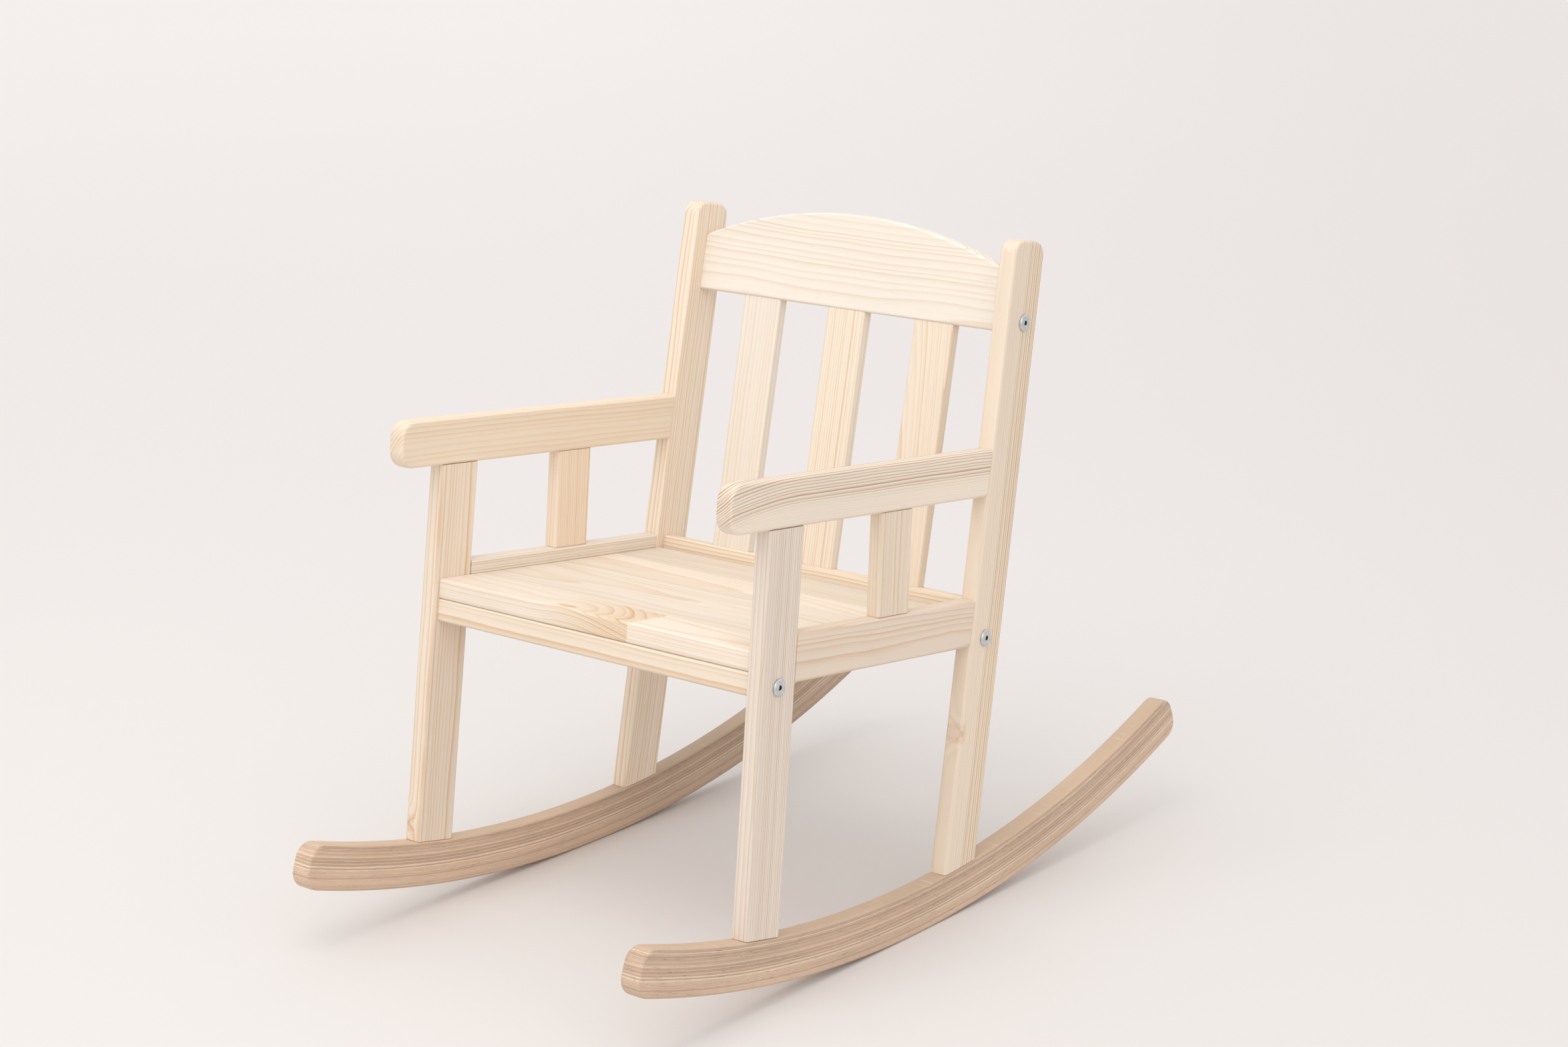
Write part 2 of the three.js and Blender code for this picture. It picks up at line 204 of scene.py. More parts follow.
def corner_arc(centre, radius, start):
    """Points of a quarter round, anticlockwise from the angle `start`."""
    for k in range(ROUND_STEPS + 1):
        angle = start + 90 * DEG * k / ROUND_STEPS
        yield centre[0] + radius * math.cos(angle), centre[1] + radius * math.sin(angle)


def rounded_rectangle(a0, b0, a1, b1, radius):
    """Outline of a rectangle with round corners."""
    points = []
    points += corner_arc((a0 + radius, b0 + radius), radius, math.pi)
    points += corner_arc((a1 - radius, b0 + radius), radius, 1.5 * math.pi)
    points += corner_arc((a1 - radius, b1 - radius), radius, 0.0)
    points += corner_arc((a0 + radius, b1 - radius), radius, 0.5 * math.pi)
    return points


def place(axis, u, v, w):
    """A point from its section coordinates u, v and its distance w along the axis."""
    if axis == "x":
        return w, u, v
    if axis == "y":
        return v, w, u
    return u, v, w


def circle(axis, radius, w, steps):
    """A ring of points round an axis, at the distance w along it."""
    angles = [2 * math.pi * k / steps for k in range(steps)]
    return [place(axis, radius * math.cos(a), radius * math.sin(a), w) for a in angles]


def bar(name, axis, outline, start, end, stations):
    """A straight bar: outline(inset) is in the two other axes, in cyclic order, and start(u, v) and
    end(u, v) say where it is sawn off."""
    full, small = outline(0.0), outline(ARRIS)

    def ring(points, at):
        return [place(axis, u, v, at(u, v)) for u, v in points]

    rings = [ring(small, start)]
    for k in range(stations):
        share = k / (stations - 1)
        rings.append(ring(full, lambda u, v, t=share: (start(u, v) + ARRIS) * (1 - t)
                          + (end(u, v) - ARRIS) * t))
    rings.append(ring(small, end))
    return loft(name, rings)


def slab(name, axis, outline, thick, ease, centre=0.0):
    """A board cut to an outline and rounded over on both faces: outline(inset) is in the two axes
    after `axis`, in cyclic order."""
    half = thick / 2
    rings = []
    for k in range(ROUND_STEPS + 1):
        angle = 90 * DEG * k / ROUND_STEPS
        rings.append((outline(ease * (1 - math.sin(angle))), -half + ease * (1 - math.cos(angle))))
    rings += [(points, -w) for points, w in reversed(rings)]
    return loft(name, [[place(axis, u, v, w + centre) for u, v in points] for points, w in rings])


def subtract(obj, tools):
    """Cuts tools out of a piece and removes them."""
    for tool in tools:
        modifier = obj.modifiers.new("cut", "BOOLEAN")
        modifier.operation = "DIFFERENCE"
        modifier.solver = "EXACT"
        modifier.object = tool
    bpy.context.view_layer.update()
    result = obj.evaluated_get(bpy.context.evaluated_depsgraph_get())
    mesh = bpy.data.meshes.new_from_object(result)
    obj.modifiers.clear()
    obj.data = mesh
    for tool in tools:
        bpy.data.objects.remove(tool)


def smooth(obj):
    """Smooth shading that leaves sawn ends crisp and flats flat."""
    obj.data.shade_smooth()
    obj.data.set_sharp_from_angle(angle=CREASE)
    weighted = obj.modifiers.new("normals", "WEIGHTED_NORMAL")
    weighted.keep_sharp = True
    weighted.weight = 100


def finish_piece(obj, matrix, material):
    """Puts a piece in place, in the stead of the CAD node that it is named after."""
    obj.data.materials.clear()
    obj.data.materials.append(material)
    obj.matrix_world = matrix
    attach(obj, "root")
    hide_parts(obj.name.replace("_visual", ""))
    smooth(obj)


# ---- Side frames ---------------------------------------------------------------------------------

def rocker_outline(inset):
    """Bent bar between two radii about the origin, with round ends: (y, z) points."""
    inner, tip = ROCKER["inner_radius"], ROCKER["tip"]
    outer = inner + ROCKER["height"]
    steps = 110
    points = []

    def polar(radius, angle):
        return radius * math.sin(angle), -radius * math.cos(angle)

    def ends(radius):
        margin = math.asin(tip / radius)
        return ROCKER["front"] + margin, ROCKER["rear"] - margin

    def corner(radius, angle, start):
        # At `angle` along the arc, -Z of the arc's own frame points at angle - 90 degrees.
        return corner_arc(polar(radius, angle), tip - inset, start + angle)

    front, rear = ends(inner + tip)
    for k in range(1, steps):
        points.append(polar(inner + inset, front + (rear - front) * k / steps))
    points += reversed(list(corner(inner + tip, rear, 0.0)))
    front_outer, rear_outer = ends(outer - tip)
    points += reversed(list(corner(outer - tip, rear_outer, -90 * DEG)))
    for k in range(1, steps):
        points.append(polar(outer - inset, rear_outer + (front_outer - rear_outer) * k / steps))
    points += reversed(list(corner(outer - tip, front_outer, -180 * DEG)))
    points += reversed(list(corner(inner + tip, front, 90 * DEG)))
    return points


def post_outline(inset):
    """Side view of a back post: sawn to the rocker at its foot, round at both top corners."""
    depth, top, corner = POST["depth"], POST["top"], POST["corner"]
    steps = 8
    points = []
    for k in range(steps + 1):
        y = inset + (depth - 2 * inset) * k / steps
        points.append((y, on_rocker(y, POST["front"], POST["rake"])))
    points += corner_arc((depth - corner, top - corner), corner - inset, 0.0)
    points += corner_arc((corner, top - corner), corner - inset, 90 * DEG)
    return points


def arm_outline(inset):
    """Side view of an armrest: round nose corners, sawn square to the back post's front face."""
    nose, height, corner = ARM["nose"], ARM["height"], ARM["corner"]
    c, s, t = math.cos(ARM["slope"]), math.sin(ARM["slope"]), math.tan(POST["rake"])

    def rear(z):
        front_face = POST["front"] - FIT + t * ARM["top"]
        return (front_face + z * (s + t * c)) / (c - t * s)

    points = [(rear(inset - height), inset - height), (rear(-inset), -inset)]
    points += corner_arc((nose + corner, -corner), corner - inset, 90 * DEG)
    points += corner_arc((nose + corner, corner - height), corner - inset, 180 * DEG)
    return points


def section(half_u, v0, v1, radius):
    """Section of a bar that is centred across its thickness, drawn in by `inset`."""
    def outline(inset):
        return rounded_rectangle(-half_u + inset, v0 + inset, half_u - inset, v1 - inset, radius)
    return outline


def build_side(name, sign, materials):
    rocker = slab(f"{name}_rocker_visual", "x", rocker_outline, ROCKER["thick"], EASE)
    finish_piece(rocker, rocker_frame(sign), materials[f"{name}_rocker"])

    leg = bar(f"{name}_front_leg_visual", "z",
              section(LEG["thick"] / 2, 0, LEG["depth"], EASE),
              lambda x, y: on_rocker(y, 0, LEG["rake"]),
              lambda x, y: under_arm(y, 0, LEG["rake"]), 12)
    finish_piece(leg, leg_frame(sign), materials[f"{name}_front_leg"])

    post = slab(f"{name}_back_post_visual", "x", post_outline, POST["thick"], EASE)
    finish_piece(post, post_frame(sign), materials[f"{name}_back_post"])

    arm = slab(f"{name}_armrest_visual", "x", arm_outline, ARM["thick"], EASE)
    finish_piece(arm, arm_frame(sign), materials[f"{name}_armrest"])

    half = SIDE_RAIL["thick"] / 2
    rail = bar(f"{name}_side_rail_visual", "y",
               lambda inset: rounded_rectangle(inset - SIDE_RAIL["height"], inset - half,
                                               -inset, half - inset, EASE),
               lambda z, x: LEG["depth"] + FIT + z * math.tan(LEG["rake"]),
               lambda z, x: POST["front"] - FIT + z * math.tan(POST["rake"]), 8)
    finish_piece(rail, rail_frame(sign), materials[f"{name}_side_rail"])

    baluster = bar(f"{name}_arm_baluster_visual", "z",
                   section(BALUSTER["thick"] / 2, 0, BALUSTER["depth"], EASE),
                   lambda x, y: FIT - y * math.tan(BALUSTER["lean"]),
                   lambda x, y: under_arm(y, BALUSTER["front"], -BALUSTER["lean"]), 6)
    finish_piece(baluster, baluster_frame(sign), materials[f"{name}_arm_baluster"])


# ---- Cross members -------------------------------------------------------------------------------

def cross_bar(name, y0, y1, z0, z1, radius):
    """A bar from side frame to side frame; its ends follow the side frames' inner faces."""
    def outline(inset):
        return rounded_rectangle(y0 + inset, z0 + inset, y1 - inset, z1 - inset, radius)
    return bar(name, "x", outline, lambda y, z: -inner_face(z), lambda y, z: inner_face(z), 24)


def crest_outline(inset):
    """(z, x) points of the crest rail: a straight foot and an arched top between the posts."""
    half = inner_face(CREST["end_top"])
    rise = CREST["middle_top"] - CREST["end_top"]
    radius = (half ** 2 + rise ** 2) / (2 * rise)
    centre = CREST["middle_top"] - radius
    steps = 48
    bottom = CREST["bottom"] + inset
    points = []
    for k in range(steps + 1):
        points.append((bottom, inner_face(bottom) * (2 * k / steps - 1)))
    for k in range(steps + 1):
        x = half * (1 - 2 * k / steps)
        points.append((centre + math.sqrt((radius - inset) ** 2 - x * x), x))
    return points


def slat_bar(name, clearance=0.0):
    """A back slat with its tenons, or with a clearance the tool for its mortises."""
    half = SLAT["width"] / 2 + clearance
    outline = section(half, -clearance, SLAT["thick"] + clearance, SLAT["edge"])
    bottom = BACK_RAIL["top"] - SLAT["tenon"] - clearance
    top = CREST["bottom"] + SLAT["tenon"] + clearance
    return bar(name, "z", outline, lambda x, y: bottom, lambda x, y: top, 12)


def slat_frame(index):
    place_at = move((index - 1) * SLAT["pitch"], POST["front"] + SLAT["inset"])
    return CHAIR @ place_at @ turn(-SLAT["lean"], "X")


def nut_pocket(node, direction):
    """The pocket of a barrel nut, open towards `direction` of the world."""
    low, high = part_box(node)
    rotation = Vector(direction).normalized().to_track_quat("Z", "Y").to_matrix().to_4x4()
    past_face = 20 * MM
    tool = loft("tool", [circle("z", NUT["diameter"] / 2 + CLEARANCE, w, 40)
                         for w in (-NUT["pocket"], past_face)])
    tool.matrix_world = Matrix.Translation((low + high) / 2) @ rotation
    return tool


SLATS = ["back_slat_right", "back_slat_middle", "back_slat_left"]


def mortise_tools():
    tools = []
    for index in range(len(SLATS)):
        tool = slat_bar("tool", CLEARANCE)
        tool.matrix_world = slat_frame(index)
        tools.append(tool)
    return tools


def build_cross_members(materials):
    seat_bottom = SEAT["top"] - SEAT["thick"]
    seat = cross_bar("seat_panel_visual", SEAT["front"], SEAT["rear"], seat_bottom, SEAT["top"],
                     SEAT["edge"])
    finish_piece(seat, CHAIR, materials["seat_panel"])

    rail_top = seat_bottom - FIT
    front = FRONT_RAIL["front"]
    rail = cross_bar("front_rail_visual", front, front + FRONT_RAIL["depth"],
                     rail_top - FRONT_RAIL["height"], rail_top, EASE)
    rail.matrix_world = CHAIR
    down = CHAIR.to_3x3() @ Vector((0, 0, -1))
    subtract(rail, [nut_pocket(f"{side}_front_rail_barrel_nut", down) for side in SIDES])
    finish_piece(rail, CHAIR, materials["front_rail"])

    rearwards = BACK.to_3x3() @ Vector((0, 1, 0))
    back = cross_bar("back_rail_visual", BACK_RAIL["inset"], BACK_RAIL["inset"] + BACK_RAIL["thick"],
                     BACK_RAIL["top"] - BACK_RAIL["height"], BACK_RAIL["top"], SEAT["edge"])
    back.matrix_world = BACK
    pockets = [nut_pocket(f"{side}_back_rail_barrel_nut", rearwards) for side in SIDES]
    subtract(back, pockets + mortise_tools())
    finish_piece(back, BACK, materials["back_rail"])

    crest = slab("crest_rail_visual", "y", crest_outline, CREST["thick"], CREST["edge"],
                 CREST["inset"] + CREST["thick"] / 2)
    crest.matrix_world = BACK
    pockets = [nut_pocket(f"{side}_crest_barrel_nut", rearwards) for side in SIDES]
    subtract(crest, pockets + mortise_tools())
    finish_piece(crest, BACK, materials["crest_rail"])

    for index, name in enumerate(SLATS):
        finish_piece(slat_bar(f"{name}_visual"), slat_frame(index), materials[name])


# ---- Bolts ---------------------------------------------------------------------------------------

def build_bolt(name, matrix, material):
    """A flat-headed connector bolt with a bevelled rim and a hexagon socket; its shank runs
    along -X."""
    steps = 72
    radius, height = BOLT["head"] / 2, BOLT["height"]
    shank, length = BOLT["shank"] / 2, BOLT["length"]
    socket = BOLT["socket"] / 2  # half across flats
    rim = 0.9 * MM

    def round_at(r, x):
        return circle("x", r, x, steps)

    def hexagon(r, x):
        points = []
        for k in range(steps):
            angle = 2 * math.pi * k / steps
            wedge = (angle + math.pi / 6) % (math.pi / 3) - math.pi / 6
            reach = min(r / math.cos(wedge), 1.12 * r)
            points.append((x, reach * math.cos(angle), reach * math.sin(angle)))
        return points

    top = FIT + height
    rings = [
        round_at(0.4 * shank, -length),
        round_at(shank - 0.8 * MM, -length),
        round_at(shank, 0.8 * MM - length),
        round_at(shank, FIT),
        round_at(radius - 0.25 * MM, FIT),
        round_at(radius, FIT + 0.25 * MM),
        round_at(radius, top - rim),
        round_at(radius - 0.12 * MM, top - rim + 0.16 * MM),
        round_at(radius - rim, top - 0.1 * MM),
        round_at(radius - rim - 0.2 * MM, top),
        round_at(radius - rim - 1.1 * MM, top),
        round_at(socket + 0.75 * MM, top - 0.05 * MM),
        hexagon(socket + 0.3 * MM, top - 0.1 * MM),
        hexagon(socket, top - 0.4 * MM),
        hexagon(socket, top - BOLT["socket_depth"]),
        hexagon(0.3 * socket, top - BOLT["socket_depth"] - 0.5 * MM),
    ]
    bolt = loft(f"{name}_visual", rings)
    finish_piece(bolt, matrix, material)


def build_bolts(material):
    for name, sign in SIDES.items():
        outwards = turn(90 * DEG * (1 - sign), "Z")
        for joint, (y, z) in POST_BOLTS.items():
            matrix = post_frame(sign) @ move(sign * POST["thick"] / 2, y, z) @ outwards
            build_bolt(f"{name}_{joint}_bolt", matrix, material)
        matrix = leg_frame(sign) @ move(sign * LEG["thick"] / 2, *LEG_BOLT) @ outwards
        build_bolt(f"{name}_front_rail_bolt", matrix, material)


# ---- Shader helpers ------------------------------------------------------------------------------

class Graph:
    """Short names for building a node tree."""

    def __init__(self, tree):
        self.tree = tree

    def node(self, kind, inputs=(), **settings):
        made = self.tree.nodes.new(kind)
        for key, value in settings.items():
            setattr(made, key, value)
        for key, value in dict(inputs).items():
            self.put(made.inputs[key], value)
        return made

    def put(self, socket, value):
        if isinstance(value, bpy.types.NodeSocket):
            self.tree.links.new(value, socket)
        elif socket.type == "RGBA":
            socket.default_value = (*value[:3], 1.0)
        else:
            socket.default_value = value

    def math(self, operation, a, b=0.0, c=0.0, clamp=False):
        made = self.node("ShaderNodeMath", operation=operation, use_clamp=clamp)
        for socket, value in zip(made.inputs, (a, b, c)):
            self.put(socket, value)
        return made.outputs[0]

    def vector(self, operation, a, b):
        """Vector a with vector b, or scaled by the number b."""
        made = self.node("ShaderNodeVectorMath", operation=operation)
        self.put(made.inputs[0], a)
        self.put(made.inputs["Scale" if operation == "SCALE" else 1], b)
        return made.outputs["Vector"]

    def length(self, a, b):
        """Length of the plane vector (a, b)."""
        squares = self.math("ADD", self.math("MULTIPLY", a, a), self.math("MULTIPLY", b, b))
        return self.math("SQRT", squares)

    def object_point(self):
        """Object coordinates in millimetres."""
        return self.vector("SCALE", self.node("ShaderNodeTexCoord").outputs["Object"], 1 / MM)

    def join(self, x=0.0, y=0.0, z=0.0):
        return self.node("ShaderNodeCombineXYZ", {"X": x, "Y": y, "Z": z}).outputs[0]

    def split(self, vector):
        return self.node("ShaderNodeSeparateXYZ", {"Vector": vector}).outputs

    def noise(self, vector, scale=(1, 1, 1), detail=2.0, roughness=0.5):
        """Noise from about -0.5 to 0.5, at `scale` features per unit along each axis."""
        at = self.vector("MULTIPLY", vector, scale)
        made = self.node("ShaderNodeTexNoise", {"Vector": at, "Scale": 1.0, "Detail": detail,
                                                "Roughness": roughness})
        return self.math("SUBTRACT", made.outputs[0], 0.5)

    def random(self, number):
        made = self.node("ShaderNodeTexWhiteNoise", {"W": number}, noise_dimensions="1D")
        return made.outputs["Value"]

    def ramp(self, value, low, high, to_low=0.0, to_high=1.0, smooth=True):
        """The value's place between low and high, as a number from to_low to to_high."""
        values = {"Value": value, "From Min": low, "From Max": high,
                  "To Min": to_low, "To Max": to_high}
        kind = "SMOOTHSTEP" if smooth else "LINEAR"
        return self.node("ShaderNodeMapRange", values, interpolation_type=kind).outputs[0]

    def mix(self, share, a, b, blend="MIX"):
        made = self.node("ShaderNodeMix", data_type="RGBA", blend_type=blend)
        for key, value in ((0, share), (6, a), (7, b)):
            self.put(made.inputs[key], value)
        return made.outputs[2]

    def shade(self, color, factor):
        """A colour made lighter or darker by a factor."""
        return self.mix(1.0, color, self.join(factor, factor, factor), "MULTIPLY")


def group_tree(name, inputs, outputs):
    tree = bpy.data.node_groups.new(name, "ShaderNodeTree")
    for label, kind, default in inputs:
        socket = tree.interface.new_socket(label, in_out="INPUT", socket_type=kind)
        if default is not None:
            socket.default_value = default
    for label, kind in outputs:
        tree.interface.new_socket(label, in_out="OUTPUT", socket_type=kind)
    return tree, Graph(tree), tree.nodes.new("NodeGroupInput"), tree.nodes.new("NodeGroupOutput")


FLOAT, VECTOR, COLOR = "NodeSocketFloat", "NodeSocketVector", "NodeSocketColor"


def pine_group():
    """Growth rings round a pith, cut by the board: lines, cathedrals and end grain come from where
    the pith lies. Board coordinates are millimetres with the grain along Z."""
    inputs = [
        ("Board", VECTOR, None), ("Facing", VECTOR, None), ("Seed", FLOAT, 0.0),
        ("Pith X", FLOAT, 0.0), ("Pith Y", FLOAT, 0.0), ("Tilt", FLOAT, 0.0), ("Ring", FLOAT, 2.4),
        ("Warp", FLOAT, 8.0), ("Contrast", FLOAT, 0.5), ("Early", COLOR, None), ("Late", COLOR, None),
        ("Plain To", FLOAT, -9999.0), ("Lined From", FLOAT, -9998.0),
        ("Bend", FLOAT, 0.0), ("Bend From", FLOAT, 0.0),
        ("Knot Y", FLOAT, 0.0), ("Knot Z", FLOAT, 9999.0), ("Knot Size", FLOAT, 3.0),
    ]
    outputs = [("Color", COLOR), ("Roughness", FLOAT), ("Height", FLOAT)]
    tree, g, source, sink = group_tree("pine_grain", inputs, outputs)
    given = source.outputs

    shift = g.vector("SCALE", (131.7, 57.3, 311.9), given["Seed"])
    at = g.vector("ADD", given["Board"], shift)
    x, y, z = g.split(given["Board"])
    curved = g.math("MAXIMUM", g.math("SUBTRACT", given["Bend From"], z), 0.0)
    curved = g.math("MULTIPLY", g.math("MULTIPLY", curved, curved), 0.0001)
    y = g.math("MULTIPLY_ADD", curved, given["Bend"], y)

    # A small knot pushes the rings aside and leaves a swirl.
    dy = g.math("SUBTRACT", y, given["Knot Y"])
    dz = g.math("MULTIPLY", g.math("SUBTRACT", z, given["Knot Z"]), 0.5)
    wobble = g.noise(at, (0.3, 0.3, 0.3), 2.0)
    away = g.math("ADD", g.length(dy, dz), g.math("MULTIPLY", wobble, 2.4))
    share = g.math("DIVIDE", away, given["Knot Size"])
    bulge = g.math("EXPONENT", g.math("MULTIPLY", g.math("MULTIPLY", share, share), -0.2))
    push = g.math("MULTIPLY", bulge, g.math("MULTIPLY", given["Knot Size"], 1.7))

    px = g.math("SUBTRACT", x, given["Pith X"])
    py = g.math("SUBTRACT", y, given["Pith Y"])
    py = g.math("MULTIPLY_ADD", g.math("MULTIPLY", z, 0.01), given["Tilt"], py)
    radius = g.length(px, py)
    long_wave = g.noise(at, (0.011, 0.011, 0.0032), 2.0)
    short_wave = g.noise(at, (0.07, 0.07, 0.011), 2.0)
    radius = g.math("MULTIPLY_ADD", long_wave, given["Warp"], radius)
    radius = g.math("MULTIPLY_ADD", short_wave, 1.7, radius)
    radius = g.math("ADD", radius, push)

    # Years differ in width and in how dark their latewood is.
    year = g.math("DIVIDE", radius, given["Ring"])
    uneven = g.noise(g.join(g.math("MULTIPLY", year, 0.55), given["Seed"], 0.0), (1, 1, 1), 1.0)
    year = g.math("MULTIPLY_ADD", uneven, 1.7, year)
    part = g.math("FRACT", year)
    rise = g.math("POWER", part, 2.7)
    fall = g.ramp(part, 0.9, 1.0, 1.0, 0.0)
    strength = g.random(g.math("ADD", g.math("FLOOR", year), given["Seed"]))
    late = g.math("MULTIPLY", rise, fall)
    late = g.math("MULTIPLY", late, g.math("MULTIPLY_ADD", strength, 0.8, 0.4))

    fibre = g.noise(at, (1.5, 1.5, 0.028), 3.0, 0.6)
    streak = g.noise(at, (0.35, 0.35, 0.004), 2.0)
    patch = g.noise(at, (0.022, 0.022, 0.006), 2.0)
    canal = g.ramp(g.noise(at, (1.9, 1.9, 0.07), 0.0), 0.22, 0.33)

    _, _, facing = g.split(given["Facing"])
    end_grain = g.ramp(g.math("ABSOLUTE", facing), 0.6, 0.95)
    contrast = g.math("MULTIPLY", given["Contrast"], g.math("MULTIPLY_ADD", end_grain, 0.5, 1.0))
    lined = g.ramp(g.math("MULTIPLY_ADD", long_wave, 10.0, y), given["Plain To"], given["Lined From"],
                   0.16, 1.0, smooth=False)
    contrast = g.math("MULTIPLY", contrast, lined)
    line = g.math("MULTIPLY", late, contrast, clamp=True)
    line = g.math("MULTIPLY_ADD", g.math("MULTIPLY", fibre, contrast), 0.2, line, clamp=True)
    color = g.mix(line, given["Early"], given["Late"])
    warm = g.mix(g.ramp(streak, 0.0, 0.3, 0.0, 0.35), (1, 1, 1), (0.955, 0.90, 0.82))
    color = g.mix(1.0, color, warm, "MULTIPLY")
    tone = g.math("MULTIPLY_ADD", fibre, 0.07, 1.0)
    tone = g.math("MULTIPLY_ADD", patch, 0.09, tone)
    tone = g.math("MULTIPLY_ADD", canal, -0.08, tone)
    tone = g.math("MULTIPLY_ADD", end_grain, -0.04, tone)
    color = g.shade(color, tone)

    core = g.ramp(share, 0.25, 0.75, 1.0, 0.0)
    rim = g.math("MULTIPLY", g.ramp(share, 0.5, 0.9), g.ramp(share, 0.95, 1.7, 1.0, 0.0))
    color = g.mix(g.math("MULTIPLY", rim, 0.4), color, (0.63, 0.44, 0.27))
    color = g.mix(g.math("MULTIPLY", core, 0.55), color, (0.50, 0.33, 0.19))

    rough = g.math("MULTIPLY_ADD", line, -0.1, 0.62)
    rough = g.math("MULTIPLY_ADD", fibre, 0.12, rough)
    height = g.math("MULTIPLY_ADD", line, 0.35, g.math("MULTIPLY", fibre, 0.5))
    height = g.math("MULTIPLY_ADD", canal, -0.5, height)
    g.put(sink.inputs["Color"], color)
    g.put(sink.inputs["Roughness"], rough)
    g.put(sink.inputs["Height"], height)
    return tree


PINE = pine_group()
PALE, LINE = (0.84, 0.735, 0.60), (0.665, 0.435, 0.235)


def new_material(name):
    material = bpy.data.materials.new(name)
    material.use_nodes = True
    material.node_tree.nodes.clear()
    graph = Graph(material.node_tree)
    shader = graph.node("ShaderNodeBsdfPrincipled")
    output = graph.node("ShaderNodeOutputMaterial")
    graph.put(output.inputs["Surface"], shader.outputs[0])
    return material, graph, shader


def bump(g, height, strength, distance):
    made = g.node("ShaderNodeBump", {"Height": height, "Strength": strength, "Distance": distance})
    return made.outputs[0]


BOARD_AXES = {"x": (1, 2, 0), "y": (0, 2, 1), "z": (0, 1, 2), "z_turned": (1, 0, 2)}


def board_vector(g, vector, grain, scale):
    """A vector turned so that the grain runs along Z."""
    parts = g.split(vector)
    return g.vector("SCALE", g.join(*[parts[k] for k in BOARD_AXES[grain]]), scale)


def tinted(color, tint):
    return tuple(c * t for c, t in zip(color, tint))


def finish_wood(g, shader, grain, values):
    """Grain on a board: `values` are the inputs of the pine group beyond the board's place."""
    coordinates = g.node("ShaderNodeTexCoord").outputs
    wood = g.node("ShaderNodeGroup", {}, node_tree=PINE)
    g.put(wood.inputs["Board"], board_vector(g, coordinates["Object"], grain, 1 / MM))
    g.put(wood.inputs["Facing"], board_vector(g, coordinates["Normal"], grain, 1.0))
    for key, value in values.items():
        g.put(wood.inputs[key], value)
    g.put(shader.inputs["Base Color"], wood.outputs["Color"])
    g.put(shader.inputs["Roughness"], wood.outputs["Roughness"])
    g.put(shader.inputs["Normal"], bump(g, wood.outputs["Height"], 0.35, 0.00012))
    shader.inputs["Specular IOR Level"].default_value = 0.35


def pine(name, grain, seed, pith, ring, warp, contrast, tint, late=LINE, **extra):
    """One board: where its pith lies across the board, in millimetres, decides its figure."""
    material, g, shader = new_material(f"pine_{name}")
    values = {"Seed": seed, "Pith X": pith[0], "Pith Y": pith[1], "Ring": ring, "Warp": warp,
              "Contrast": contrast, "Early": tinted(PALE, tint), "Late": tinted(late, tint)}
    values.update({key.replace("_", " ").title(): value for key, value in extra.items()})
    finish_wood(g, shader, grain, values)
    return material


def pine_panel(name, seed, tint):
    """Edge-glued staves along X. The front stave is finger-jointed from two lengths."""
    first, width, joint = 57.0, 46.0, 42.0  # rear edge of the front stave, other staves, joint
    material, g, shader = new_material(f"pine_{name}")
    along, across, _ = g.split(g.object_point())

    row = g.math("DIVIDE", g.math("SUBTRACT", across, first), width)
    stave = g.math("MAXIMUM", g.math("FLOOR", row), -1.0)
    in_front = g.math("LESS_THAN", across, first)
    finger = g.math("PINGPONG", across, 3.0)
    past_joint = g.math("GREATER_THAN", g.math("MULTIPLY_ADD", finger, -1.5, along), joint)
    right_length = g.math("MULTIPLY", in_front, past_joint)
    piece = g.math("MULTIPLY_ADD", right_length, 11.0, stave)
    luck = g.random(g.math("ADD", piece, seed))
    other = g.random(g.math("ADD", piece, seed + 40.0))

    middle_of_stave = g.math("MULTIPLY_ADD", g.math("ADD", stave, 0.5), width, first)
    pith_across = g.math("MULTIPLY_ADD", g.math("SUBTRACT", other, 0.5), 90.0, middle_of_stave)
    ramped = g.ramp(along, -75.0, joint - 12.0)
    left_length = g.math("MULTIPLY", in_front, g.math("SUBTRACT", 1.0, right_length))
    burl = g.math("MULTIPLY", left_length, ramped)
    tone = g.math("MULTIPLY_ADD", g.math("SUBTRACT", luck, 0.5), 0.15, 1.0)
    warmth = g.mix(burl, (1.0, 1.0, 1.0), (0.94, 0.86, 0.75))
    hairline = g.math("ABSOLUTE", g.math("SUBTRACT", g.math("FRACT", g.math("ADD", row, 0.5)), 0.5))
    hairline = g.ramp(hairline, 0.003, 0.012, 1.0, 0.0)
    hairline = g.math("MULTIPLY", hairline, g.math("GREATER_THAN", row, -0.3))
    tone = g.math("MULTIPLY_ADD", hairline, -0.1, tone)
    tone = g.math("MULTIPLY_ADD", right_length, 0.03, tone)

    finish_wood(g, shader, "x", {
        "Seed": g.math("MULTIPLY_ADD", piece, 3.7, seed), "Pith X": pith_across,
        "Pith Y": g.math("MULTIPLY_ADD", luck, -50.0, -62.0),
        "Tilt": g.math("MULTIPLY_ADD", burl, 20.0, 1.5),
        "Ring": g.math("MULTIPLY_ADD", other, 1.6, 2.2), "Warp": 12.0,
        "Contrast": g.math("MULTIPLY_ADD", burl, 1.0, g.math("MULTIPLY_ADD", other, 0.35, 0.4)),
        "Early": g.mix(1.0, g.shade(tinted(PALE, tint), tone), warmth, "MULTIPLY"),
        "Late": g.shade(tinted(LINE, tint), tone),
    })
    return material


